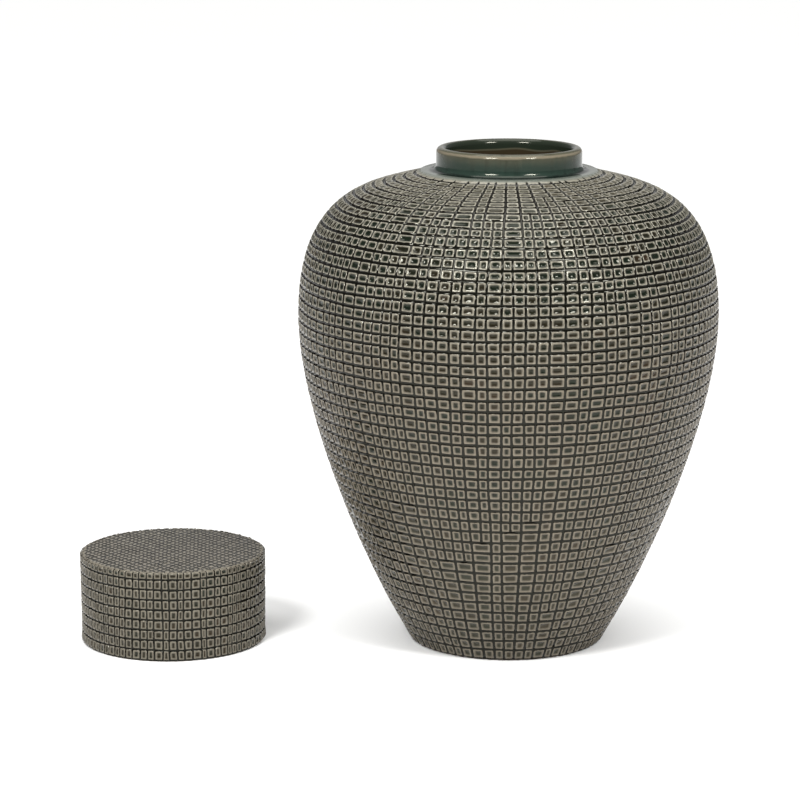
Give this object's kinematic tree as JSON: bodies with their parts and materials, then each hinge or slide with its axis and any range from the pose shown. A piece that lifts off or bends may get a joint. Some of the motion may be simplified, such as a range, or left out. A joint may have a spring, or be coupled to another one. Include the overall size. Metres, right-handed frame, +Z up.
{
  "type": "ginger jar",
  "caption": "Broad-shouldered glazed stoneware ginger jar covered with small cut tiles, with a short smooth neck and a loose cap lid standing beside it.",
  "frame": {"origin": "centre of the jar's foot, on the ground it stands on", "axes": "+Z up along the jar's axis, the lid on the -X side of the jar, -Y towards the viewer"},
  "size_m": [0.4664, 0.305, 0.3634],
  "materials": {
    "jar_glaze": "glossy green-grey glaze pooled in the tiles, beige on their edges",
    "lid_glaze": "glossy green-grey glaze pooled in the tiles, beige on their edges"
  },
  "bodies": {
    "jar": {"jar": "jar_glaze"},
    "lid": {"lid": "lid_glaze"}
  },
  "joints": [
    {"name": "lid_lift", "type": "slide", "parent": "jar", "child": "lid", "axis": [0, 0, 1], "range_m": [0, 0.4]}
  ]
}
